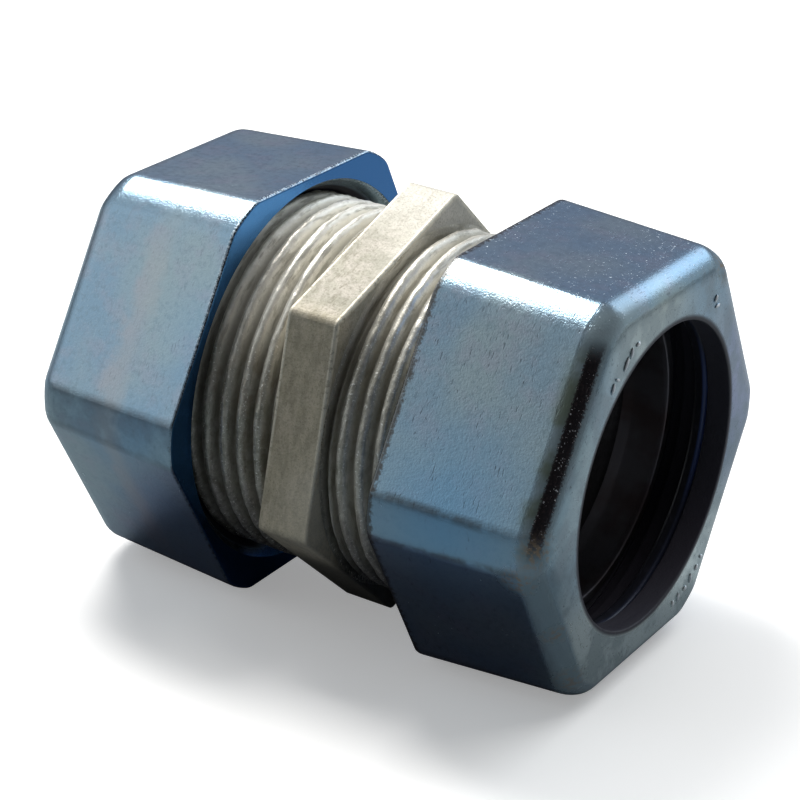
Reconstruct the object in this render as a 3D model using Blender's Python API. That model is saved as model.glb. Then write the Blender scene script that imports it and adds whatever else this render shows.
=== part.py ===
"""Compression coupling that joins two lengths of thin-wall metal conduit end to end.

A short threaded body with a hexagonal flange in the middle takes a conduit from each
side, up to a stop ring. At each end a hexagonal gland nut, a sealing washer and a split
ring clamp the conduit. Units are metres. The axis is X, +Z is up, and the origin is at
the middle of the flange on the axis. Both threads are right-handed.
"""
import math

import bmesh
import bpy

MM = 0.001

# Conduit and the clearance that it slides in with.
CONDUIT_RADIUS = 11.71 * MM
CONDUIT_CLEARANCE = 0.32 * MM

# Body: tube wall, stop ring, thread and flange.
BODY_WALL = 1.52 * MM
STOP_HEIGHT = 1.40 * MM
STOP_HALF_WIDTH = 0.80 * MM
STOP_RAMP = 0.60 * MM
THREAD_DEPTH = 0.85 * MM
THREAD_PITCH = 25.4 / 16 * MM
RIDGE_BASE_WIDTH = 0.95 * MM
RIDGE_CREST_WIDTH = 0.35 * MM
FLANGE_WIDTH = 4.40 * MM
FLANGE_STEP = 0.40 * MM
FLANGE_TURN = math.radians(18.5)
FLANGE_EDGE = 0.25 * MM
FLANGE_CORNER_CUT = 0.50 * MM
SEAT_ANGLE = math.radians(30.0)
MOUTH_EDGE = 0.50 * MM

# Gland nut, drafted towards its outer end.
THREAD_SHOWING = 6.55 * MM
THREAD_CLEARANCE = 0.27 * MM
NUT_LENGTH = 14.00 * MM
NUT_WALL = 1.98 * MM
NUT_DRAFT = 0.65 * MM
NUT_CORNER_CUT = 2.14 * MM
NUT_END_FILLET = 2.10 * MM
NUT_RIM_CHAMFER = 0.50 * MM
NUT_RIM_LAND = 0.65 * MM
NUT_LIP = 2.00 * MM
RELIEF_WIDTH = 1.20 * MM
RELIEF_DEPTH = 0.15 * MM
TIGHTENING_TURNS = 1.5

# Split ring and sealing washer.
RING_SLACK = 0.29 * MM
RING_WALL = 1.20 * MM
RING_NOSE_WALL = 0.45 * MM
RING_END_WALL = 0.85 * MM
RING_LENGTH = 4.00 * MM
RING_SEAT_GAP = 0.30 * MM
RING_EDGE = 0.15 * MM
RING_SLIT = 2.40 * MM
RING_TRAVEL = 0.48 * MM
RING_TIGHT_GAP = 0.08 * MM
WASHER_THICKNESS = 1.20 * MM
WASHER_SLACK = 0.37 * MM
WASHER_GAP = 0.15 * MM

TURN_SEGMENTS = 40
THREAD_STEPS = 24
FILLET_STEPS = 4

# Places and radii that follow from the sizes above.
BORE_RADIUS = CONDUIT_RADIUS + CONDUIT_CLEARANCE
ROOT_RADIUS = BORE_RADIUS + BODY_WALL
CREST_RADIUS = ROOT_RADIUS + THREAD_DEPTH
NUT_MINOR_RADIUS = ROOT_RADIUS + THREAD_CLEARANCE
NUT_MAJOR_RADIUS = CREST_RADIUS + THREAD_CLEARANCE
NUT_HALF_FLATS = NUT_MAJOR_RADIUS + NUT_WALL
FLANGE_HALF_FLATS = CREST_RADIUS + FLANGE_STEP
RIM_X = FLANGE_WIDTH / 2 + THREAD_SHOWING
NUT_END_X = RIM_X + NUT_LENGTH
LIP_X = NUT_END_X - NUT_LIP
TIGHTENING_TRAVEL = TIGHTENING_TURNS * THREAD_PITCH

# The washer lies behind the lip, the ring short of it by what the nut still travels, and
# the body ends where its tapered mouth takes the ring's nose.
WASHER_X = LIP_X - WASHER_GAP - WASHER_THICKNESS
RING_INNER = CONDUIT_RADIUS + RING_SLACK
RING_END_X = WASHER_X - TIGHTENING_TRAVEL - RING_TIGHT_GAP + RING_TRAVEL
RING_NOSE_X = RING_END_X - RING_LENGTH
MOUTH_RADIUS = ROOT_RADIUS - MOUTH_EDGE
SEAT_X = (RING_NOSE_X - RING_SEAT_GAP / math.sin(SEAT_ANGLE)
          - (RING_INNER + RING_NOSE_WALL - BORE_RADIUS) / math.tan(SEAT_ANGLE))
BODY_END_X = SEAT_X + (MOUTH_RADIUS - BORE_RADIUS) / math.tan(SEAT_ANGLE)
THREAD_START_X = FLANGE_WIDTH / 2 - RIDGE_BASE_WIDTH * 0.85
RELIEF_X = BODY_END_X + TIGHTENING_TRAVEL + RIDGE_BASE_WIDTH / 2


def remove_everything():
    """Empty the file of objects."""
    for item in list(bpy.data.objects):
        bpy.data.objects.remove(item, do_unlink=True)


def metal(name, colour, roughness, metallic=1.0):
    """A Principled material."""
    material = bpy.data.materials.new(name)
    material.use_nodes = True
    shader = material.node_tree.nodes["Principled BSDF"]
    shader.inputs["Base Color"].default_value = (*colour, 1.0)
    shader.inputs["Roughness"].default_value = roughness
    shader.inputs["Metallic"].default_value = metallic
    return material


def swept(name, sections, closed=False):
    """A solid through like loops of points: with flat ends, or closed back on itself."""
    bm = bmesh.new()
    loops = []
    for section in sections:
        loops.append([bm.verts.new(point) for point in section])
    pairs = list(zip(loops, loops[1:]))
    if closed:
        pairs.append((loops[-1], loops[0]))
    else:
        bm.faces.new(loops[0])
        bm.faces.new(list(reversed(loops[-1])))
    for near, far in pairs:
        for i in range(len(near)):
            bm.faces.new((near[i - 1], near[i], far[i], far[i - 1]))
    bmesh.ops.recalc_face_normals(bm, faces=bm.faces)
    mesh = bpy.data.meshes.new(name)
    bm.to_mesh(mesh)
    bm.free()
    mesh.shade_smooth()
    mesh.set_sharp_from_angle(angle=math.radians(30.0))
    item = bpy.data.objects.new(name, mesh)
    bpy.context.collection.objects.link(item)
    return item


def around_axis(x, radius, angle):
    """The point at a place along X, a distance from the axis and an angle about it."""
    return (x, radius * math.cos(angle), radius * math.sin(angle))


def turned_ring(name, profile):
    """A ring turned about X from a closed outline of (x, radius) points."""
    sections = []
    for i in range(TURN_SEGMENTS):
        angle = 2 * math.pi * i / TURN_SEGMENTS
        sections.append([around_axis(x, radius, angle) for x, radius in profile])
    return swept(name, sections, closed=True)


def turned_plug(name, stations):
    """A solid turned about X that is full to the axis, from (x, radius) stations."""
    sections = []
    for x, radius in stations:
        angles = [2 * math.pi * i / TURN_SEGMENTS for i in range(TURN_SEGMENTS)]
        sections.append([around_axis(x, radius, angle) for angle in angles])
    return swept(name, sections)


def hexagon(x, half_flats, corner_cut, turn=0.0):
    """A hexagon's loop at x, flats up and down before its turn, each corner cut off flat."""
    corner_radius = half_flats / math.cos(math.radians(30.0))
    loop = []
    for k in range(6):
        corner = turn + math.radians(60.0 * k)
        for side in (-1, 1):
            along = corner + side * math.radians(120.0)
            y = corner_radius * math.cos(corner) + corner_cut * math.cos(along)
            z = corner_radius * math.sin(corner) + corner_cut * math.sin(along)
            loop.append((x, y, z))
    return loop


def helical_ridge(name, first_step, last_step, outline):
    """A ridge along the thread's helix, from an outline of (offset along X, radius)."""
    sections = []
    for step in range(first_step, last_step + 1):
        centre = THREAD_START_X + THREAD_PITCH * step / THREAD_STEPS
        angle = 2 * math.pi * step / THREAD_STEPS
        sections.append([around_axis(centre + dx, radius, angle) for dx, radius in outline])
    return swept(name, sections)


def thread_step(x):
    """The last whole step of the thread whose centre is not past x."""
    return math.floor((x - THREAD_START_X) / THREAD_PITCH * THREAD_STEPS)


def use_tool(item, tool, operation):
    """Cut an object with a tool, or join the tool to it."""
    tool.hide_render = True
    tool.display_type = "WIRE"
    tool.parent = item
    modifier = item.modifiers.new(tool.name, "BOOLEAN")
    modifier.operation = operation
    modifier.solver = "EXACT"
    modifier.object = tool


def ridge_half_width(radius):
    """Half the width of the body's thread ridge at a radius, carried on past its crest."""
    share = (radius - ROOT_RADIUS) / THREAD_DEPTH
    return (RIDGE_BASE_WIDTH + (RIDGE_CREST_WIDTH - RIDGE_BASE_WIDTH) * share) / 2


def coupling_body(material):
    """Threaded tube with tapered mouths, a stop ring inside and a flange round its middle."""
    stop_radius = BORE_RADIUS - STOP_HEIGHT
    stop_foot = STOP_HALF_WIDTH + STOP_RAMP
    half = [(BODY_END_X, ROOT_RADIUS), (BODY_END_X, MOUTH_RADIUS), (SEAT_X, BORE_RADIUS),
            (stop_foot, BORE_RADIUS), (STOP_HALF_WIDTH, stop_radius)]
    profile = half + [(-x, radius) for x, radius in reversed(half)]
    body = turned_ring("coupling_body", profile)
    body.data.materials.append(material)

    half_width = FLANGE_WIDTH / 2
    small = FLANGE_HALF_FLATS - FLANGE_EDGE
    flange = swept("flange_tool", [
        hexagon(-half_width, small, FLANGE_CORNER_CUT),
        hexagon(-half_width + FLANGE_EDGE, FLANGE_HALF_FLATS, FLANGE_CORNER_CUT),
        hexagon(half_width - FLANGE_EDGE, FLANGE_HALF_FLATS, FLANGE_CORNER_CUT),
        hexagon(half_width, small, FLANGE_CORNER_CUT)])
    flange.rotation_euler = (FLANGE_TURN, 0.0, 0.0)
    stop_bore = turned_plug("flange_bore_tool", [
        (-FLANGE_WIDTH, (BORE_RADIUS + ROOT_RADIUS) / 2),
        (FLANGE_WIDTH, (BORE_RADIUS + ROOT_RADIUS) / 2)])
    use_tool(flange, stop_bore, "DIFFERENCE")
    use_tool(body, flange, "UNION")

    foot = ROOT_RADIUS - BODY_WALL / 4
    outline = [(-ridge_half_width(ROOT_RADIUS), foot), (-RIDGE_CREST_WIDTH / 2, CREST_RADIUS),
               (RIDGE_CREST_WIDTH / 2, CREST_RADIUS), (ridge_half_width(ROOT_RADIUS), foot)]
    last = thread_step(BODY_END_X - RIDGE_BASE_WIDTH * 0.7)
    for side, turn in (("right", 0.0), ("left", math.pi)):
        ridge = helical_ridge(side + "_thread_tool", 0, last, outline)
        ridge.rotation_euler = (0.0, turn, 0.0)
        use_tool(body, ridge, "UNION")
    return body


def gland_nut(side, material):
    """Hexagonal nut with a lip at its outer end; its origin is on the axis at its rim."""
    end = NUT_LENGTH
    end_half_flats = NUT_HALF_FLATS - NUT_DRAFT
    stations = [(0.0, NUT_HALF_FLATS - NUT_RIM_CHAMFER), (NUT_RIM_CHAMFER, NUT_HALF_FLATS)]
    for i in range(FILLET_STEPS + 1):
        angle = math.pi / 2 * i / FILLET_STEPS
        stations.append((end - NUT_END_FILLET * (1 - math.sin(angle)),
                         end_half_flats - NUT_END_FILLET * (1 - math.cos(angle))))
    nut = swept(side + "_gland_nut", [hexagon(x, half, NUT_CORNER_CUT) for x, half in stations])
    nut.data.materials.append(material)

    rim_radius = NUT_HALF_FLATS - NUT_RIM_CHAMFER - NUT_RIM_LAND
    countersink = rim_radius - NUT_MINOR_RADIUS
    relief_start = RELIEF_X - RIM_X
    relief_radius = NUT_MAJOR_RADIUS + RELIEF_DEPTH
    beyond = 1.0 * MM
    bore = turned_plug(side + "_nut_bore_tool", [
        (-beyond, rim_radius + beyond), (countersink, NUT_MINOR_RADIUS),
        (relief_start, NUT_MINOR_RADIUS), (relief_start, relief_radius),
        (relief_start + RELIEF_WIDTH, relief_radius),
        (relief_start + RELIEF_WIDTH, NUT_MINOR_RADIUS),
        (LIP_X - RIM_X, NUT_MINOR_RADIUS), (LIP_X - RIM_X, BORE_RADIUS),
        (end + beyond, BORE_RADIUS)])
    use_tool(nut, bore, "DIFFERENCE")

    foot = ROOT_RADIUS
    gap = THREAD_CLEARANCE
    outline = [(-ridge_half_width(foot) - gap, foot),
               (-ridge_half_width(NUT_MAJOR_RADIUS) - gap, NUT_MAJOR_RADIUS),
               (ridge_half_width(NUT_MAJOR_RADIUS) + gap, NUT_MAJOR_RADIUS),
               (ridge_half_width(foot) + gap, foot)]
    first = thread_step(RIM_X - RIDGE_BASE_WIDTH - gap)
    last = thread_step(RELIEF_X + RELIEF_WIDTH / 2)
    groove = helical_ridge(side + "_nut_thread_tool", first, last, outline)
    groove.location = (-RIM_X, 0.0, 0.0)
    use_tool(nut, groove, "DIFFERENCE")
    nut.location = (RIM_X, 0.0, 0.0)
    return nut


def split_ring(side, material):
    """Tapered clamping ring with a slit along it; its nose lies in the body's mouth."""
    nose = RING_INNER + RING_NOSE_WALL
    outer = RING_INNER + RING_WALL
    end = RING_INNER + RING_END_WALL
    nose_length = (RING_WALL - RING_NOSE_WALL) / math.tan(SEAT_ANGLE)
    end_length = (RING_WALL - RING_END_WALL) / math.tan(SEAT_ANGLE)
    ring = turned_ring(side + "_split_ring", [
        (0.0, RING_INNER + RING_EDGE), (0.0, nose), (nose_length, outer),
        (RING_LENGTH - end_length, outer), (RING_LENGTH, end),
        (RING_LENGTH, RING_INNER + RING_EDGE), (RING_LENGTH - RING_EDGE, RING_INNER),
        (RING_EDGE, RING_INNER)])
    ring.data.materials.append(material)
    low = RING_INNER - RING_WALL
    high = RING_INNER + 2 * RING_WALL
    corners = [(-RING_SLIT / 2, low), (RING_SLIT / 2, low), (RING_SLIT / 2, high),
               (-RING_SLIT / 2, high)]
    slit = swept(side + "_slit_tool", [
        [(x, y, z) for y, z in corners] for x in (-RING_WALL, RING_LENGTH + RING_WALL)])
    use_tool(ring, slit, "DIFFERENCE")
    ring.location = (RING_NOSE_X, 0.0, 0.0)
    return ring


def sealing_washer(side, material):
    """Flat washer behind the nut's lip, which it follows along the axis."""
    inner = BORE_RADIUS + WASHER_SLACK
    outer = NUT_MINOR_RADIUS - WASHER_GAP
    washer = turned_ring(side + "_sealing_washer", [
        (0.0, inner), (0.0, outer), (WASHER_THICKNESS, outer), (WASHER_THICKNESS, inner)])
    washer.data.materials.append(material)
    washer.location = (WASHER_X, 0.0, 0.0)
    return washer


def build():
    """The whole coupling: the body, and the same fittings at both ends."""
    remove_everything()
    assembly = bpy.data.objects.new("coupling", None)
    bpy.context.collection.objects.link(assembly)
    coupling_body(metal("cast_body", (0.46, 0.44, 0.40), 0.45)).parent = assembly
    nut_metal = metal("plated_nut", (0.33, 0.40, 0.46), 0.35)
    ring_metal = metal("ring_steel", (0.42, 0.41, 0.42), 0.40)
    washer_rubber = metal("washer_rubber", (0.02, 0.02, 0.022), 0.75, metallic=0.0)
    for side, turn in (("right", 0.0), ("left", math.pi)):
        end = bpy.data.objects.new(side + "_end", None)
        bpy.context.collection.objects.link(end)
        end.parent = assembly
        end.rotation_euler = (0.0, turn, 0.0)
        gland_nut(side, nut_metal).parent = end
        split_ring(side, ring_metal).parent = end
        sealing_washer(side, washer_rubber).parent = end


build()
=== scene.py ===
"""Looks of a compression coupling for thin-wall conduit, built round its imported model."""
import math

import bmesh
import bpy
import numpy as np
from mathutils import Matrix, Vector, noise


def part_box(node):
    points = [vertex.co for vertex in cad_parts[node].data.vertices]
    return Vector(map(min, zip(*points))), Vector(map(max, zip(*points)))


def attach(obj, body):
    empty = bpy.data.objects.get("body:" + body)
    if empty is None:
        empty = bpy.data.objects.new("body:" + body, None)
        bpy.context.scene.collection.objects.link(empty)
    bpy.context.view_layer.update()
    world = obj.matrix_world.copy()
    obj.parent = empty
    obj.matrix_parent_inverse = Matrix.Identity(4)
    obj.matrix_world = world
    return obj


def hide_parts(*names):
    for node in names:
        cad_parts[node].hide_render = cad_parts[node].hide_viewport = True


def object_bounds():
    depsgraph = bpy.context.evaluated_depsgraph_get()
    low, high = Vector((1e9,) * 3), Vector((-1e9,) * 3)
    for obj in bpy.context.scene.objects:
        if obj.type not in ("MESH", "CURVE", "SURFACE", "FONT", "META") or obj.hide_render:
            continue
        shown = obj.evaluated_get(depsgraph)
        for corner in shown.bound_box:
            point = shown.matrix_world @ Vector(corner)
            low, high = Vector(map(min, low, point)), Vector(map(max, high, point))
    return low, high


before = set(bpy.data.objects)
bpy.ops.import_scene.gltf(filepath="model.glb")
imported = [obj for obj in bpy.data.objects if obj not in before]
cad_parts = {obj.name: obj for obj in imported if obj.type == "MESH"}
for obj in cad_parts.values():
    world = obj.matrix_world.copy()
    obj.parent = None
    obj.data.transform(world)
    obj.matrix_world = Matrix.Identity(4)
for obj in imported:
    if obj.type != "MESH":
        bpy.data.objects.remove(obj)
cad_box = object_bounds()


# ---------------------------------------------------------------- threaded body
# The body is one casting in dull zinc: a tube with a hexagonal flange round its middle, a
# stop ring inside, and a right-handed thread cut along each half. It is turned from an
# outline, its thread is raised along the helix, and the flange is joined round it.
MM = 0.001
body_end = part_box("coupling_body")[1].x
bore_radius = 12.03 * MM
mouth_radius = 13.05 * MM
seat_start = 12.08 * MM
stop_radius = 10.63 * MM
stop_half_width = 0.8 * MM
stop_foot = 1.4 * MM
root_radius = 13.55 * MM
thread_depth = 0.85 * MM
thread_pitch = 25.4 / 16 * MM
thread_start = 1.3925 * MM
thread_run_in = 0.5 * MM
thread_run_out = 0.9 * MM
groove_width = 0.19
thread_wear = 0.20
root_wear = 0.03 * MM
end_chamfer = 0.15 * MM
station_spacing = 0.105 * MM
tolerance = 0.01 * MM
flange_half_width = 2.2 * MM
flange_half_flats = 14.8 * MM
flange_turn = math.radians(18.5)
flange_edge = 0.18 * MM
flange_corner = 0.35 * MM
round_steps = 300
hole_steps = 96


def turned(name, outline, steps):
    """A closed outline of (x, radius) points, spun about the X axis."""
    bpy.ops.object.select_all(action="DESELECT")
    bpy.ops.mesh.primitive_circle_add(vertices=len(outline), fill_type="NOTHING")
    item = bpy.context.object
    item.name = name
    for vertex, (x, radius) in zip(item.data.vertices, outline):
        vertex.co = (x, 0.0, radius)
    bpy.ops.object.mode_set(mode="EDIT")
    bpy.ops.mesh.select_all(action="SELECT")
    bpy.ops.mesh.spin(steps=steps, angle=2 * math.pi, center=(0, 0, 0), axis=(1, 0, 0))
    bpy.ops.mesh.select_all(action="SELECT")
    bpy.ops.mesh.remove_doubles(threshold=0.0001 * MM)
    bpy.ops.mesh.delete_loose()
    bpy.ops.mesh.select_all(action="SELECT")
    bpy.ops.mesh.normals_make_consistent(inside=False)
    bpy.ops.object.mode_set(mode="OBJECT")
    return item


def arc(x, radius, size, start, end, steps=5):
    """Points of a round edge about (x, radius), from one angle in degrees to another."""
    angles = [math.radians(start + (end - start) * i / steps) for i in range(steps + 1)]
    return [(x + size * math.cos(a), radius + size * math.sin(a)) for a in angles]


def combine(item, tool, operation):
    """Joins a tool to a piece, or cuts it away, and merges the slivers that this leaves."""
    modifier = item.modifiers.new(operation, "BOOLEAN")
    modifier.object = tool
    modifier.operation = operation
    bpy.ops.object.select_all(action="DESELECT")
    bpy.context.view_layer.objects.active = item
    item.select_set(True)
    bpy.ops.object.modifier_apply(modifier=modifier.name)
    bpy.data.objects.remove(tool)
    bpy.ops.object.mode_set(mode="EDIT")
    bpy.ops.mesh.select_all(action="SELECT")
    bpy.ops.mesh.remove_doubles(threshold=0.001 * MM)
    bpy.ops.object.mode_set(mode="OBJECT")


def pick(item, part, test, sharp=0.0):
    """Opens a piece for editing with only the vertices, edges or faces that pass a test.

    With sharp, an edge must also turn through more than this many degrees."""
    bpy.context.view_layer.objects.active = item
    bpy.ops.object.mode_set(mode="EDIT")
    bpy.ops.mesh.select_mode(type=part)
    bpy.ops.mesh.select_all(action="DESELECT")
    mesh = bmesh.from_edit_mesh(item.data)
    for element in {"VERT": mesh.verts, "EDGE": mesh.edges, "FACE": mesh.faces}[part]:
        blunt = sharp and math.degrees(element.calc_face_angle(0.0)) < sharp
        if not blunt and test(
                [element.co] if part == "VERT" else [v.co for v in element.verts]):
            element.select_set(True)
    mesh.select_flush_mode()
    bmesh.update_edit_mesh(item.data)


def finish_shape(item, angle=30.0):
    """Leaves edit mode, puts the place into the mesh, and shades round parts smooth."""
    if bpy.context.mode != "OBJECT":
        bpy.ops.object.mode_set(mode="OBJECT")
    bpy.ops.object.select_all(action="DESELECT")
    bpy.context.view_layer.objects.active = item
    item.select_set(True)
    bpy.ops.object.transform_apply(location=True, rotation=True, scale=True)
    bpy.ops.object.shade_smooth_by_angle(angle=math.radians(angle))


def raise_thread(item, root, depth, groove, wear, first, last):
    """Moves the points at the root radius out along the right-handed helix of each end.

    The groove's width is in pitches. The thread runs in after first and out before last."""
    points = np.empty(len(item.data.vertices) * 3)
    item.data.vertices.foreach_get("co", points)
    points = points.reshape(-1, 3)
    x, y, z = points.T
    radius = np.hypot(y, z)
    angle = np.arctan2(z, y)
    side = np.where(x < 0, -1.0, 1.0)
    phase = (side * x - thread_start) / thread_pitch - side * angle / (2 * math.pi)
    from_groove = 0.5 - np.abs(phase - np.round(phase))
    crest = 1 - np.exp(-(from_groove / groove) ** 2)
    crest *= 0.88 + 0.12 * np.cos(2 * math.pi * phase)
    inward = np.clip((np.abs(x) - first) / thread_run_in, 0, 1)
    outward = np.clip((last - np.abs(x)) / thread_run_out, 0, 1)
    height = depth * crest * inward * inward * (3 - 2 * inward) * outward
    for i in np.nonzero(np.abs(radius - root) < tolerance)[0]:
        place = Vector(points[i]) / MM
        dent = noise.noise(place * 0.55) * 0.6 + noise.noise(place * 1.9) * 0.4
        grown = 1 + (height[i] * (1 + wear * dent) + root_wear * wear * dent) / radius[i]
        points[i, 1:] *= grown
    item.data.vertices.foreach_set("co", points.ravel())
    item.data.update()


def half_outline(sign):
    """One end of the body's outline: thread stations, tapered mouth, bore and stop."""
    stations = int((body_end - flange_half_width) / station_spacing)
    threaded = body_end - end_chamfer - flange_half_width
    points = [(sign * (flange_half_width + threaded * i / stations), root_radius)
              for i in range(stations + 1)]
    points += [(sign * body_end, root_radius - end_chamfer), (sign * body_end, mouth_radius),
               (sign * seat_start, bore_radius), (sign * stop_foot, bore_radius),
               (sign * stop_half_width, stop_radius)]
    return points


body = turned("body_casting", half_outline(1) + half_outline(-1)[::-1], round_steps)
raise_thread(body, root_radius, thread_depth, groove_width, thread_wear,
             flange_half_width + 0.05 * MM, body_end - 0.1 * MM)

bpy.ops.object.select_all(action="DESELECT")
bpy.ops.mesh.primitive_cylinder_add(
    vertices=6, radius=flange_half_flats / math.cos(math.radians(30)),
    depth=2 * flange_half_width, rotation=(0, math.pi / 2, 0))
flange = bpy.context.object
finish_shape(flange)
pick(flange, "EDGE", lambda ends: abs(ends[0].x - ends[1].x) > flange_half_width)
bpy.ops.mesh.bevel(offset=flange_corner, segments=4)
pick(flange, "EDGE", lambda ends: abs(ends[0].x - ends[1].x) < tolerance)
bpy.ops.mesh.bevel(offset=flange_edge, segments=4)
bpy.ops.object.mode_set(mode="OBJECT")
flange.rotation_euler = (flange_turn, 0, 0)
finish_shape(flange)
hole_half_width = 3 * flange_half_width
hole_radius = 0.5 * (bore_radius + root_radius)
flange_hole = turned("flange_hole", [
    (-hole_half_width, 0), (-hole_half_width, hole_radius),
    (hole_half_width, hole_radius), (hole_half_width, 0)], hole_steps)
combine(flange, flange_hole, "DIFFERENCE")
combine(body, flange, "UNION")
finish_shape(body, 34.0)


mm_per_metre = 1000.0


class Flow:
    """A value in a finish. Arithmetic with it, or with it and a number, becomes Math nodes."""

    def __init__(self, finish, socket):
        self.finish = finish
        self.socket = socket

    def math(self, operation, *values):
        return self.finish.node(
            "ShaderNodeMath", {"operation": operation}, dict(enumerate(values)))

    def __add__(self, other):
        return self.math("ADD", self, other)

    def __radd__(self, other):
        return self.math("ADD", other, self)

    def __sub__(self, other):
        return self.math("SUBTRACT", self, other)

    def __rsub__(self, other):
        return self.math("SUBTRACT", other, self)

    def __mul__(self, other):
        return self.math("MULTIPLY", self, other)

    def __pow__(self, other):
        return self.math("POWER", self, other)

    def between(self, low, high):
        """0 below low, 1 above high, and smooth between; low above high turns it round."""
        settings = {"interpolation_type": "SMOOTHSTEP", "clamp": True}
        if low < high:
            return self.finish.node("ShaderNodeMapRange", settings,
                                    {"Value": self, "From Min": low, "From Max": high})
        return 1 - self.between(high, low)


class Finish:
    """One material: its shader, and the nodes that colour and roughen it."""

    def __init__(self, name, **settings):
        self.material = bpy.data.materials.new(name)
        self.material.use_nodes = True
        self.tree = self.material.node_tree
        self.shader = self.tree.nodes["Principled BSDF"]
        for socket, value in settings.items():
            self.shader.inputs[socket.replace("_", " ")].default_value = value
        self.place = self.node("ShaderNodeTexCoord", output="Object")

    def node(self, kind, settings=None, inputs=None, output=0):
        made = self.tree.nodes.new(kind)
        for key, value in (settings or {}).items():
            setattr(made, key, value)
        for key, value in (inputs or {}).items():
            if isinstance(value, Flow):
                self.tree.links.new(value.socket, made.inputs[key])
            else:
                made.inputs[key].default_value = value
        return Flow(self, made.outputs[output])

    def axis(self, output):
        """The place along one axis, in millimetres."""
        split = self.node("ShaderNodeSeparateXYZ", inputs={0: self.place}, output=output)
        return split * mm_per_metre

    def places(self):
        """x, y, z, the distance from the middle, the radius and the angle round the bore."""
        x, y, z = self.axis("X"), self.axis("Y"), self.axis("Z")
        angle = y.math("ARCTAN2", z, y)
        return (x, y, z, x.math("ABSOLUTE", x), (y * y + z * z) ** 0.5,
                angle * math.degrees(1))

    def cloud(self, size, detail=2.0, roughness=0.5, stretch=(1, 1, 1), shift=0.0):
        """Noise from 0 to 1 whose lumps are about this many millimetres across."""
        place = self.node("ShaderNodeMapping", inputs={
            "Vector": self.place, "Location": (shift, shift, shift), "Scale": stretch})
        return self.node("ShaderNodeTexNoise", inputs={
            "Vector": place, "Scale": mm_per_metre / size, "Detail": detail,
            "Roughness": roughness})

    def near(self, x, y, z, reach):
        """1 at a place in millimetres, fading to 0 at a distance from it."""
        away = self.node("ShaderNodeVectorMath", {"operation": "DISTANCE"}, {
            0: self.place, 1: (x * MM, y * MM, z * MM)}, output="Value")
        return (away * mm_per_metre).between(reach, 0.0)

    def mix(self, factor, first, second):
        """A blend of two colours."""
        return self.node("ShaderNodeMix", {"data_type": "RGBA", "clamp_factor": True},
                         {0: factor, 6: self.colour(first), 7: self.colour(second)}, output=2)

    def colour(self, value):
        return value if isinstance(value, Flow) else (*value, 1.0)

    def feed(self, socket, value):
        self.tree.links.new(value.socket, self.shader.inputs[socket])

    def bump(self, height_mm):
        """Raises the surface's shading by a height in millimetres."""
        self.feed("Normal", self.node("ShaderNodeBump", inputs={
            "Height": height_mm, "Distance": MM}))


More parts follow.
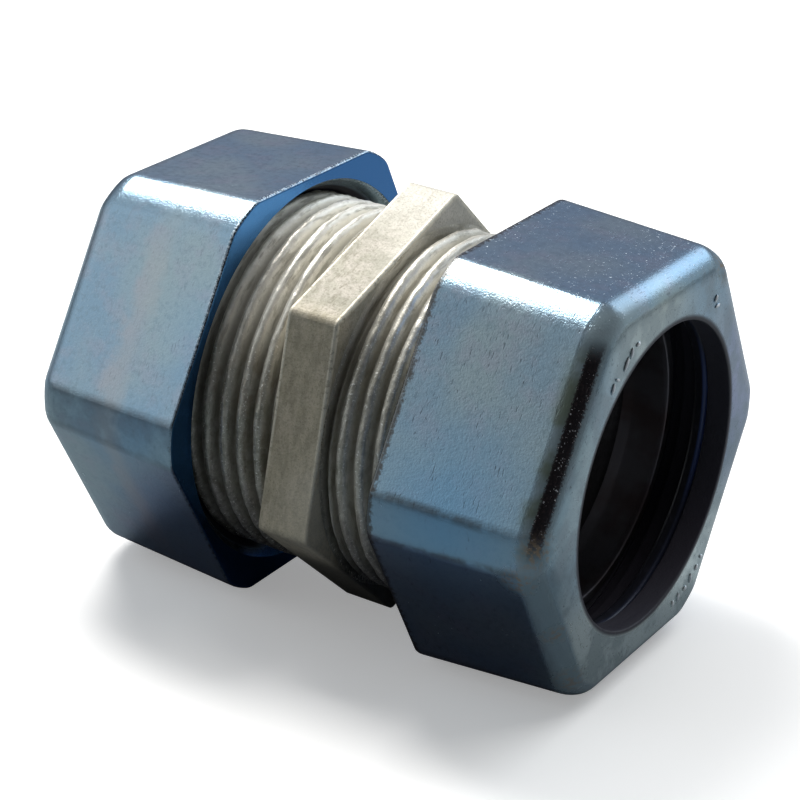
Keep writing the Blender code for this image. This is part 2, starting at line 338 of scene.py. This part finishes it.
def cast_zinc():
    """Dull warm-grey casting, mottled, with worn crests and edges and darker grooves; painted
    light on its tops, crests and edges, and painted shade underneath and in its bore.
    """
    finish = Finish("cast_zinc")
    x, y, z, along, radius, degrees = finish.places()
    broad = finish.cloud(6.0, 3.0)
    blotch = finish.cloud(1.5, 4.0, 0.62, shift=0.2)
    fine = finish.cloud(0.40, 3.0, 0.65)
    grain = finish.cloud(0.16, 2.0, 0.6)
    smear = finish.cloud(1.1, 3.0, 0.6, stretch=(1.6, 0.5, 0.5), shift=0.9)
    drag = finish.cloud(1.0, 5.0, 0.72, stretch=(1.3, 0.7, 0.5), shift=0.3)
    turning = finish.node("ShaderNodeCombineXYZ", inputs={
        0: x * 2.6, 1: radius * 2, 2: degrees * 0.1})
    turning_lines = finish.node("ShaderNodeTexNoise", inputs={
        "Vector": turning, "Scale": 1.0, "Detail": 3.0, "Roughness": 0.6})

    # The flange, its outer edges, the thread's crests and grooves, and the inside.
    on_flange = along.between(2.6, 2.2) * radius.between(14.6, 14.7)
    on_thread = 1 - on_flange
    worn = radius.between(13.95, 14.35) * on_thread
    across = radius * 0.8
    for flat in range(3):
        lie = flange_turn + math.radians(30 + 60 * flat)
        outward = y * math.cos(lie) + z * math.sin(lie)
        across = across.math("MAXIMUM", across, outward.math("ABSOLUTE", outward))
    edge = along.between(1.85, 2.0) * across.between(14.35, 14.55) * z.between(-4, 4)
    groove = radius.between(14.15, 13.6) * radius.between(13.0, 13.4)
    inside = radius.between(13.3, 12.6)

    # Warm grey zinc, blotched, smeared and speckled, and the outside of the thread painted
    # lighter towards the top, as painted light from above.
    base = finish.mix(broad.between(0.3, 0.7), (0.30, 0.29, 0.23), (0.43, 0.41, 0.34))
    base = finish.mix(blotch.between(0.42, 0.62) * 0.6, base, (0.52, 0.48, 0.43))
    base = finish.mix(smear.between(0.46, 0.34) * 0.5, base, (0.20, 0.185, 0.13))
    base = finish.mix(fine.between(0.54, 0.34) * 0.35, base, (0.20, 0.185, 0.14))
    # Painted light: the outside of the thread grows lighter towards the top.
    painted_thread_top_light = on_thread * radius.between(13.4, 13.5) * z.between(-2, 12)
    base = finish.mix(painted_thread_top_light * 0.55, base, (0.86, 0.83, 0.74))

    # The flange: a pale top of painted light, a warmer streaked front, and a dark underside of
    # painted shade.
    # Painted light makes the top and back of the flange pale.
    painted_flange_top_light = on_flange * z.between(11, 15) * y.between(-6, 2)
    base = finish.mix(painted_flange_top_light * 0.5, base, (0.84, 0.82, 0.76))
    warm = on_flange * y.between(-9.5, -12.5) * z.between(12.3, 10.3)
    base = finish.mix(warm * (0.35 + fine * 0.4), base, (0.62, 0.53, 0.37))
    base = finish.mix(warm * drag.between(0.60, 0.36) * 0.5, base, (0.27, 0.24, 0.17))
    base = finish.mix(on_flange * z.between(10, 12) * drag.between(0.50, 0.36) * 0.35, base,
                      (0.40, 0.38, 0.32))
    # Painted shade darkens the underside at the front of the body.
    base = finish.mix(z.between(-7.5, -10.5) * y.between(2, -3) * 0.8, base, (0.08, 0.07, 0.05))
    base = finish.mix(on_flange * grain.between(0.50, 0.70) * 0.35, base, (0.17, 0.155, 0.11))

    # The thread: a tarnished patch, painted highlights and a patch of painted shade, worn crests
    # with painted glints, and darker grooves.
    base = finish.mix(finish.near(-5.5, -13, 4, 7) * smear.between(0.45, 0.6) * 0.5, base,
                      (0.30, 0.23, 0.16))
    # Painted highlights on the upper left thread and on the top of the right thread.
    painted_thread_highlights = on_thread * x.between(-1.5, -5) * z.between(5, 11)
    painted_thread_highlights = painted_thread_highlights + finish.near(5, -4, 13.5, 6) * 0.6
    base = finish.mix(painted_thread_highlights * 0.85, base, (1.0, 0.97, 0.88))
    # A patch of painted shade on the front of the right thread.
    base = finish.mix(finish.near(4.5, -12, 7.5, 5) * 0.5, base, (0.18, 0.17, 0.13))
    # A painted highlight on the lower front of the right thread.
    base = finish.mix(finish.near(4, -13.5, -3, 7) * 0.5, base, (0.80, 0.75, 0.64))
    base = finish.mix(worn * fine.between(0.35, 0.65) * 0.35, base, (0.72, 0.69, 0.60))
    # Near-white specks on the worn crests are painted glints.
    base = finish.mix(worn * grain.between(0.60, 0.68), base, (0.97, 0.95, 0.88))
    # The flange's worn outer edges, paler towards the top as a painted highlight.
    base = finish.mix(edge * fine.between(0.3, 0.5) * 0.6, base, (0.88, 0.83, 0.69))
    base = finish.mix(on_thread * turning_lines.between(0.50, 0.36) * 0.45, base,
                      (0.20, 0.18, 0.13))
    base = finish.mix(groove * 0.45, base, (0.13, 0.12, 0.09))
    # Painted shade darkens the bore and the mouth.
    base = finish.mix(inside * 0.85, base, (0.06, 0.055, 0.065))
    finish.feed("Base Color", base)
    finish.feed("Metallic", 0.20 + blotch * 0.3 + on_thread * 0.18)
    finish.feed("Roughness", 0.50 + grain * 0.22 - worn * 0.14 - edge * 0.15
                - on_thread * 0.07)
    finish.bump(blotch * 0.05 + fine * 0.035 + grain * 0.025)
    return finish.material


body.data.materials.clear()
body.data.materials.append(cast_zinc())
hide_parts("coupling_body")
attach(body, "body")


# ---------------------------------------------------------------- gland nuts
# Each nut is cast with a taper towards its outer end, its corners cut off flat and its outer
# edge well rounded, then bored, threaded and plated blue-grey. A lip at the outer end holds
# the washer in. The raised marks on the outer face are plain ticks.
nut_low, nut_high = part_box("right_gland_nut")
rim = nut_low.x
nut_end = nut_high.x
nut_length = nut_end - rim
half_flats = nut_high.z
nut_draft = 0.78 * MM
corner_cut = 2.14 * MM
corner_bulge = 0.36
corner_round = 0.30 * MM
end_round = 2.1 * MM
rim_chamfer = 0.22 * MM
lip = nut_end - 2.0 * MM
nut_minor = 13.82 * MM
nut_groove_width = 0.17
nut_bore_edge = 0.12 * MM
lip_chamfer = 0.15 * MM
tap_overrun = 1.0 * MM
tap_spacing = 0.125 * MM
tap_steps = 192
rim_mouth = 15.5 * MM
relief_start = 16.71 * MM
relief_end = 17.91 * MM
relief_radius = 14.82 * MM


def lengthwise(ends):
    """Whether an edge runs along the nut."""
    return abs(ends[0].x - ends[1].x) > 0.5 * nut_length


def tap_outline():
    """Outline of all that the nut is hollowed by, from its rim to its outer face."""
    mouth_end = rim + rim_mouth - nut_minor
    stations = int((relief_start - mouth_end) / tap_spacing)
    thread = [(mouth_end + (relief_start - mouth_end) * i / stations, nut_minor)
              for i in range(stations + 1)]
    points = [(rim - tap_overrun, 0), (rim - tap_overrun, rim_mouth + tap_overrun)] + thread
    points += [(relief_start, relief_radius), (relief_end, relief_radius),
               (relief_end, nut_minor), (lip, nut_minor), (lip, bore_radius + lip_chamfer),
               (lip + lip_chamfer, bore_radius)]
    points += arc(nut_end - nut_bore_edge, bore_radius + nut_bore_edge, nut_bore_edge, 270, 360)
    points += [(nut_end + tap_overrun, bore_radius + nut_bore_edge), (nut_end + tap_overrun, 0)]
    return points


def raised_marks(nut):
    """Plain raised ticks and dots on the nut's outer face."""
    # Each mark's y, z, length and width in millimetres, and its lean in degrees.
    marks = [(-8.7, 10.3, 0.9, 0.30, 70), (-8.1, 10.8, 0.6, 0.30, -25),
             (-6.9, 11.6, 1.2, 0.32, 60), (-6.2, 12.2, 0.9, 0.30, 75),
             (-5.3, 12.6, 0.6, 0.28, 20), (7.3, 12.0, 0.7, 0.30, 55), (7.7, 11.3, 0.8, 0.28, 10),
             (4.8, -13.0, 0.6, 0.32, 65), (5.7, -12.8, 0.8, 0.30, 80), (6.8, -12.5, 0.6, 0.3, 30),
             (7.7, -12.0, 0.9, 0.30, 85), (8.6, -11.4, 0.6, 0.32, 40), (9.3, -10.7, 0.5, 0.3, 0)]
    for y, z, length, width, lean in marks:
        bpy.ops.object.select_all(action="DESELECT")
        bpy.ops.mesh.primitive_uv_sphere_add(
            segments=20, ring_count=12, radius=0.5 * MM,
            location=(nut_end - 0.02 * MM, y * MM, z * MM),
            rotation=(math.radians(lean), 0, 0), scale=(0.36, length, width))
        mark = bpy.context.object
        finish_shape(mark, 80.0)
        combine(nut, mark, "UNION")


bpy.ops.object.select_all(action="DESELECT")
bpy.ops.mesh.primitive_cylinder_add(
    vertices=6, radius=half_flats / math.cos(math.radians(30)), depth=nut_length,
    location=(0.5 * (rim + nut_end), 0, 0), rotation=(0, math.pi / 2, 0))
right_nut = bpy.context.object
right_nut.name = "right_plated_nut"
finish_shape(right_nut)
pick(right_nut, "EDGE", lengthwise)
bpy.ops.mesh.bevel(offset=corner_cut, segments=6, profile=corner_bulge)
pick(right_nut, "VERT", lambda point: point[0].x > nut_end - tolerance)
shrink = 1 - nut_draft / half_flats
bpy.ops.transform.resize(value=(1, shrink, shrink), center_override=(nut_end, 0, 0))
pick(right_nut, "EDGE", lambda ends: min(p.x for p in ends) > nut_end - tolerance)
bpy.ops.mesh.bevel(offset=end_round, segments=10)
pick(right_nut, "EDGE", lengthwise, sharp=12.0)
bpy.ops.mesh.loop_multi_select(ring=False)
bpy.ops.mesh.bevel(offset=corner_round, segments=3)
pick(right_nut, "EDGE", lambda ends: max(p.x for p in ends) < rim + tolerance)
bpy.ops.mesh.bevel(offset=rim_chamfer, segments=3)
finish_shape(right_nut, 28.0)
tap = turned("tap", tap_outline(), tap_steps)
raise_thread(tap, nut_minor, thread_depth, nut_groove_width, 0.0,
             rim, relief_start + thread_run_out)
combine(right_nut, tap, "DIFFERENCE")
raised_marks(right_nut)
finish_shape(right_nut, 28.0)


def blue_plating():
    """Satin blue-grey plating over a rough casting, scuffed and rust-stained at its edges, with
    painted highlights, glints, reflections and shade.
    """
    finish = Finish("blue_plating")
    x, y, z, along, radius, degrees = finish.places()
    broad = finish.cloud(8.0, 2.0)
    middle = finish.cloud(2.6, 3.0, 0.6, shift=0.4)
    fine = finish.cloud(0.45, 3.0, 0.62)
    grain = finish.cloud(0.17, 2.0, 0.6)
    scrape = finish.cloud(0.45, 2.0, 0.5, stretch=(2.8, 0.6, 0.6), shift=0.7)

    # Blue-grey plating, clouded and grained, bluer in patches, with a pale streak on the left
    # nut and short scrape marks on the right one.
    base = finish.mix(broad.between(0.35, 0.65), (0.28, 0.41, 0.52), (0.36, 0.46, 0.50))
    base = finish.mix(middle.between(0.45, 0.7) * 0.5, base, (0.39, 0.42, 0.50))
    base = finish.mix(fine.between(0.52, 0.34) * 0.30, base, (0.19, 0.27, 0.32))
    base = finish.mix(grain.between(0.5, 0.75) * 0.22, base, (0.50, 0.60, 0.66))
    bluer = finish.near(15, -18, 1, 11) * 1.3 + finish.near(-9, -16, 9, 6) * 0.6
    bluer = bluer + finish.near(-10, -17, -3, 9) * 0.5
    base = finish.mix(bluer * 0.55, base, (0.20, 0.43, 0.66))
    wavering = x + middle * 3.0
    streak = wavering.between(-15.2, -13.6) * wavering.between(-11.9, -13.3)
    base = finish.mix(streak * y.between(-9, -13) * 0.45, base, (0.47, 0.47, 0.47))
    scraped = scrape.between(0.60, 0.72) * middle.between(0.42, 0.58) * x.between(-30, 8)
    base = finish.mix(scraped * 0.45, base, (0.09, 0.13, 0.16))

    # A dark line where each flat meets its cut corner.
    corner = degrees.math("PINGPONG", degrees, 30.0) + along * 0.09 - 6.6
    seam = corner.math("ABSOLUTE", corner).between(1.9, 0.1) * middle.between(0.34, 0.52)
    seam = seam * z.between(12, 8) * along.between(22.0, 21.0) * (0.5 + x.between(-5, 5) * 0.5)
    # Painted shade darkens the lower cut corners of the left nut, in mottled patches.
    painted_lower_corner_shade = corner.between(0.3, -0.8) * x.between(5, -5) * z.between(8, 2)
    base = finish.mix(painted_lower_corner_shade * middle.between(0.4, 0.6) * 0.3, base, (0.10, 0.15, 0.20))
    base = finish.mix(seam * (0.35 + fine * 0.5), base, (0.11, 0.12, 0.12))

    # The right nut's outer rounding: duller than the flats, with an olive painted reflection and
    # a dark stripe of painted reflection along it, dotted with painted glints.
    front = y.between(-2, -6) * z.between(-0.5, 1.5) * z.between(14.2, 12.6)
    fillet = (x.between(20.6, 21.2) * x.between(22.7, 22.4)
              * y.between(-2, -6) * z.between(16.4, 15.2))
    base = finish.mix(fillet * 0.8, base, (0.26, 0.34, 0.38))
    # An olive painted reflection on the front of the outer rounding.
    painted_olive_reflection = x.between(19.8, 21.2) * x.between(22.2, 21.5) * front
    base = finish.mix(painted_olive_reflection * middle.between(0.3, 0.6) * 0.8, base, (0.13, 0.16, 0.10))
    ragged = grain * 0.4
    # A ragged dark stripe of painted reflection along the rounding, tinged reddish brown.
    painted_dark_reflection = (x + ragged).between(21.6, 21.8) * (x - ragged).between(22.2, 22.0) * front
    base = finish.mix(painted_dark_reflection * 0.95, base, (0.075, 0.065, 0.068))
    base = finish.mix(painted_dark_reflection * grain.between(0.5, 0.62) * 0.6, base, (0.20, 0.15, 0.15))
    # Painted glints: white dots in the dark stripe.
    painted_stripe_glints = grain.between(0.60, 0.66) * fine.between(0.50, 0.58) * painted_dark_reflection
    base = finish.mix(painted_stripe_glints, base, (0.95, 0.95, 0.95))

    # Painted glints: bright specks on the right nut's top flat and along both rims.
    painted_glints = (grain.between(0.63, 0.68) * fine.between(0.51, 0.58)
              * z.between(14.5, 15.8) * x.between(-8, 8))
    painted_glints = painted_glints * (0.15 + x.between(12.0, 9.5) + x.between(14.0, 18.5))
    glint = along.between(9.15, 8.85) * along.between(8.77, 8.8) * z.between(2, 11)
    painted_glints = painted_glints + glint * grain.between(0.50, 0.58) * 0.9
    base = finish.mix(painted_glints, base, (0.82, 0.92, 1.0))

    # The outer faces: painted light low down and painted shade to one side, tinted, clouded and
    # pitted, with rust at corners, and raised marks painted bright as painted highlights.
    face = along.between(22.5, 22.7)
    # Painted light on the lower part of the outer face, and painted shade towards its +Y side.
    base = finish.mix(face * z.between(-2, -9) * 0.9, base, (0.80, 0.88, 0.87))
    base = finish.mix(face * y.between(8, 13) * 0.35, base, (0.02, 0.03, 0.05))
    base = finish.mix(face * finish.near(22.7, 12, 3, 12) * 0.7, base, (0.40, 0.42, 0.60))
    base = finish.mix(face * finish.near(22.7, -4, 14, 11) * 0.7, base, (0.56, 0.60, 0.55))
    rust = (finish.near(22.3, -17.2, 0.6, 2.2) + finish.near(20.8, -17.2, -2.2, 2.0)
            + finish.near(21.8, -13.0, -7.5, 1.6)
            + finish.near(22.7, -10.8, -13.2, 2.4) + finish.near(22.5, 8.6, 14.2, 2.0))
    base = finish.mix(rust * fine.between(0.46, 0.60) * 0.8, base, (0.38, 0.27, 0.17))
    cloudy = face * middle.between(0.42, 0.60)
    base = finish.mix(cloudy * 0.5, base, (0.20, 0.27, 0.30))
    pits = face * grain.between(0.60, 0.66) * fine.between(0.45, 0.55)
    base = finish.mix(pits * 0.8, base, (0.10, 0.12, 0.14))
    # The raised marks are painted near-white as painted highlights.
    mark = along.between(22.77, 22.86)
    base = finish.mix(mark, base, (0.92, 0.96, 1.0))

    # The rims: dark worn edges, and blued faces and mouths. The inside is dull, and painted dark
    # as painted shade.
    rim_wear = (along + fine + grain * 0.5 + x.between(1, -1) * 0.4).between(10.1, 9.75)
    outside = radius.between(15.6, 16.0)
    base = finish.mix(rim_wear * outside * 0.85, base, (0.10, 0.085, 0.07))
    rim_face = along.between(8.80, 8.76)
    cone = (along + radius).between(24.45, 24.35) * radius.between(15.65, 15.55)
    blued = rim_face.math("MAXIMUM", rim_face, cone)
    base = finish.mix(blued, base, (0.05, 0.19, 0.46))
    # Painted shade darkens the inside of the nut.
    inside = radius.between(12.6, 12.2) + along.between(22.0, 21.0) * radius.between(15.2, 14.9)
    inside = inside * (1 - cone)
    base = finish.mix(inside, base, (0.034, 0.032, 0.045))
    finish.feed("Base Color", base)
    finish.feed("Metallic", 1 - inside - mark * 0.6 - fillet * (1 - painted_dark_reflection) * 0.5)
    rough = rust + painted_stripe_glints + painted_glints + mark + inside
    finish.feed("Roughness", 0.15 + broad * 0.06 + fine * 0.12 + rough * 0.3)
    finish.bump(fine * 0.012 + grain * 0.015 - scraped * 0.010)
    return finish.material


plating = blue_plating()
right_nut.data.materials.clear()
right_nut.data.materials.append(plating)


def other_end(item, name):
    """A copy of a right-hand piece, turned half round to the left-hand end."""
    copy = item.copy()
    copy.data = item.data.copy()
    copy.name = name
    bpy.context.collection.objects.link(copy)
    copy.rotation_euler = (0, math.pi, 0)
    bpy.ops.object.select_all(action="DESELECT")
    bpy.context.view_layer.objects.active = copy
    copy.select_set(True)
    bpy.ops.object.transform_apply(location=True, rotation=True, scale=True)
    return copy


left_nut = other_end(right_nut, "left_plated_nut")
for side, nut in (("right", right_nut), ("left", left_nut)):
    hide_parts(side + "_gland_nut")
    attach(nut, side + "_nut")


# ---------------------------------------------------------------- split rings
# Each ring is rolled from spring steel and slit along one side. Both ends are tapered, the
# bore has four biting ridges, and the nose lies in the body's tapered mouth.
ring_low, ring_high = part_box("right_split_ring")
ring_inner = 12.0 * MM
ring_outer = 13.2 * MM
ring_nose = 12.45 * MM
ring_back = 12.85 * MM
nose_length = 1.3 * MM
back_length = 0.606 * MM
slit_width = 2.4 * MM
ridge_points = 8
ridge_depth = 0.05 * MM
ring_steps = 144


def ring_outline():
    """The ring's section: tapered outside, with biting ridges between shallow grooves."""
    points = [(ring_low.x, ring_inner + 0.12 * MM), (ring_low.x, ring_nose)]
    points += [(ring_low.x + nose_length, ring_outer), (ring_high.x - back_length, ring_outer)]
    points += arc(ring_high.x - 0.15 * MM, ring_back - 0.1 * MM, 0.15 * MM, 60, 0, 3)
    points += arc(ring_high.x - 0.2 * MM, ring_inner + 0.25 * MM, 0.2 * MM, 0, -90, 3)
    step = (ring_high.x - ring_low.x - 1.0 * MM) / ridge_points
    for i in range(ridge_points):
        depth = ridge_depth if i % 2 else 0.0
        points.append((ring_high.x - 0.5 * MM - step * i, ring_inner + depth))
    return points


right_ring = turned("right_clamping_ring", ring_outline(), ring_steps)
bpy.ops.object.select_all(action="DESELECT")
bpy.ops.mesh.primitive_cube_add(
    size=1.0, location=(0.5 * (ring_low.x + ring_high.x), 0, ring_outer),
    scale=(10 * MM, slit_width, 6 * MM))
slit = bpy.context.object
finish_shape(slit)
combine(right_ring, slit, "DIFFERENCE")
finish_shape(right_ring, 28.0)


def spring_steel():
    """Bare steel strip with fine turning lines and a little straw and brown tarnish."""
    finish = Finish("spring_steel", Metallic=1.0)
    lines = finish.cloud(0.12, 2.0, stretch=(1, 0.02, 0.02))
    tarnish = finish.cloud(4.0, 3.0)
    base = finish.mix(tarnish.between(0.4, 0.7), (0.20, 0.19, 0.21), (0.15, 0.12, 0.12))
    finish.feed("Base Color", base)
    finish.feed("Roughness", 0.42 + lines * 0.2)
    finish.bump(lines * 0.01)
    return finish.material


right_ring.data.materials.clear()
right_ring.data.materials.append(spring_steel())
left_ring = other_end(right_ring, "left_clamping_ring")
for side, ring in (("right", right_ring), ("left", left_ring)):
    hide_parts(side + "_split_ring")
    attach(ring, side + "_ring")


# ---------------------------------------------------------------- sealing washers
# Each washer is moulded in hard black rubber with rounded edges, and lies loose behind the
# nut's lip, where its inner edge just shows through the bore.
washer_low, washer_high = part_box("right_sealing_washer")
washer_inner = 12.4 * MM
washer_outer = washer_high.z
washer_round = 0.35 * MM
washer_steps = 144


def washer_outline():
    """A flat section with four rounded edges."""
    left, right = washer_low.x + washer_round, washer_high.x - washer_round
    low, high = washer_inner + washer_round, washer_outer - washer_round
    return (arc(right, high, washer_round, 90, 0) + arc(right, low, washer_round, 0, -90)
            + arc(left, low, washer_round, -90, -180) + arc(left, high, washer_round, 180, 90))


right_washer = turned("right_rubber_washer", washer_outline(), washer_steps)
finish_shape(right_washer, 40.0)


def hard_rubber():
    """Black moulded rubber, scuffed in places, with a painted blue highlight along its inner
    edge.
    """
    finish = Finish("hard_rubber", Metallic=0.0, Specular_IOR_Level=0.6)
    _, y, z, along, radius, _ = finish.places()
    scuffs = finish.cloud(0.8, 4.0, 0.7)
    base = finish.mix(scuffs.between(0.5, 0.75), (0.014, 0.015, 0.022), (0.03, 0.03, 0.045))
    # A painted blue highlight on the washer's inner front edge, faint all round and full on one
    # side.
    painted_blue_highlight = along.between(20.1, 20.35) * radius.between(12.8, 12.55)
    painted_blue_highlight = painted_blue_highlight * (0.1 + y.between(2, 8) * z.between(-8, -3) * z.between(8, 2))
    base = finish.mix(painted_blue_highlight, base, (0.07, 0.12, 0.34))
    finish.feed("Base Color", base)
    finish.feed("Roughness", 0.26 + scuffs * 0.25)
    finish.bump(scuffs * 0.012)
    return finish.material


right_washer.data.materials.clear()
right_washer.data.materials.append(hard_rubber())
left_washer = other_end(right_washer, "left_rubber_washer")
for side, washer in (("right", right_washer), ("left", left_washer)):
    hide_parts(side + "_sealing_washer")
    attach(washer, side + "_washer")


# ---------------------------------------------------------------- floor, light and camera
# A pale plain floor, broad soft light from above and behind, and a long lens above the near
# end of the coupling.
bpy.ops.object.select_all(action="DESELECT")
bpy.ops.mesh.primitive_plane_add(size=3.0, location=(0, 0, cad_box[0].z))
floor = bpy.context.object
floor.name = "floor"
card = Finish("pale_card", Roughness=0.9)
card.shader.inputs["Base Color"].default_value = (0.95, 0.95, 0.95, 1.0)
card.shader.inputs["Emission Strength"].default_value = 0.3
card.shader.inputs["Emission Color"].default_value = (1.0, 1.0, 1.0, 1.0)
x, y = card.axis("X"), card.axis("Y")
# Seen by all but the camera, the floor is grey, darker towards the front, with a painted shadow
# under the coupling.
painted_floor_shadow = ((x + 1) * 0.05) ** 2 + ((y + 12) * 0.07) ** 2
dim = card.mix(y.between(-60, 60), (0.20, 0.235, 0.26), (0.36, 0.39, 0.41))
dim = card.mix(painted_floor_shadow.between(1.6, 0.7), dim, (0.15, 0.15, 0.19))
dim = card.node("ShaderNodeBsdfDiffuse", inputs={"Color": dim})
seen = card.node("ShaderNodeLightPath", output="Is Camera Ray")
shown = card.node("ShaderNodeMixShader", inputs={"Fac": seen, 1: dim})
card.tree.links.new(card.shader.outputs[0], shown.socket.node.inputs[2])
card.tree.links.new(shown.socket, card.tree.nodes["Material Output"].inputs["Surface"])
floor.data.materials.append(card.material)

camera_azimuth = 31.55
camera_elevation = 24.67
camera_roll = math.radians(2.58)
camera_distance = 198.35 * MM
aim = Vector((0.10, -0.27, 0.0)) * MM
lamp_distance = 0.35


def toward(azimuth_degrees, elevation_degrees):
    """The unit direction at an azimuth from -Y towards +X and a height above the horizon."""
    a, e = math.radians(azimuth_degrees), math.radians(elevation_degrees)
    return Vector((math.sin(a) * math.cos(e), -math.cos(a) * math.cos(e), math.sin(e)))


back = toward(camera_azimuth, camera_elevation)
camera = bpy.data.objects.new("camera", bpy.data.cameras.new("camera"))
bpy.context.collection.objects.link(camera)
camera.data.sensor_width = 36.0
camera.data.lens = 113.33
camera.data.clip_start = 0.01
camera.location = aim + back * camera_distance
turn = back.to_track_quat("Z", "Y")
camera.rotation_euler = (turn.to_matrix() @ Matrix.Rotation(camera_roll, 3, "Z")).to_euler()
bpy.context.scene.camera = camera

world = bpy.data.worlds.new("studio")
bpy.context.scene.world = world
world.use_nodes = True


class Room(Finish):
    """The light round the table, as a colour for each direction."""

    def __init__(self):
        self.tree = world.node_tree
        self.tree.nodes.clear()
        self.place = self.node("ShaderNodeTexCoord", output="Generated")
        self.light = None

    def glow(self, azimuth_at, height, tightness, colour):
        """Adds soft light from one direction, falling away round it."""
        along = self.node("ShaderNodeVectorMath", {"operation": "DOT_PRODUCT"}, {
            0: self.place, 1: toward(azimuth_at, height)}, output="Value")
        part = self.node("ShaderNodeVectorMath", {"operation": "SCALE"}, {
            0: colour, "Scale": along.math("MAXIMUM", along, 0.0) ** tightness})
        self.light = part if self.light is None else self.node(
            "ShaderNodeVectorMath", {"operation": "ADD"}, {0: self.light, 1: part})

    def shine(self, backdrop):
        """Lights the scene, and shows the camera only a plain backdrop."""
        seen = self.node("ShaderNodeLightPath", output="Is Camera Ray")
        shown = self.mix(seen, self.light, backdrop)
        lit = self.node("ShaderNodeBackground", inputs={"Color": shown})
        shown_to = self.tree.nodes.new("ShaderNodeOutputWorld")
        self.tree.links.new(lit.socket, shown_to.inputs["Surface"])


room = Room()
room.glow(0, 90, 0.01, (0.045, 0.045, 0.05))
room.glow(-60, 28, 4.0, (0.82, 0.87, 0.90))
room.glow(-149, 25, 7.0, (0.28, 0.30, 0.38))
room.glow(165, 34, 24.0, (0.58, 0.70, 0.90))
room.glow(140, 5, 6.0, (0.55, 0.60, 0.60))
room.shine((1.0, 1.0, 1.0))

for name, azimuth_at, height, width, length, power, tint in (
        ("key", -115, 57, 0.12, 0.20, 1.2, (1.0, 0.98, 0.95)),
        ("rear", 165, 34, 0.20, 0.20, 0.15, (0.78, 0.88, 0.97)),
        ("soft_fill", 150, 65, 0.30, 0.30, 0.6, (1.0, 0.98, 0.93))):
    panel = bpy.data.lights.new(name, "AREA")
    panel.shape = "RECTANGLE"
    panel.size = width
    panel.size_y = length
    panel.energy = power
    panel.color = tint
    lamp = bpy.data.objects.new(name, panel)
    bpy.context.collection.objects.link(lamp)
    lamp.location = toward(azimuth_at, height) * lamp_distance
    lamp.rotation_euler = toward(azimuth_at, height).to_track_quat("Z", "Y").to_euler()
    lamp.visible_glossy = name != "soft_fill"

bpy.context.scene.view_settings.view_transform = "Standard"
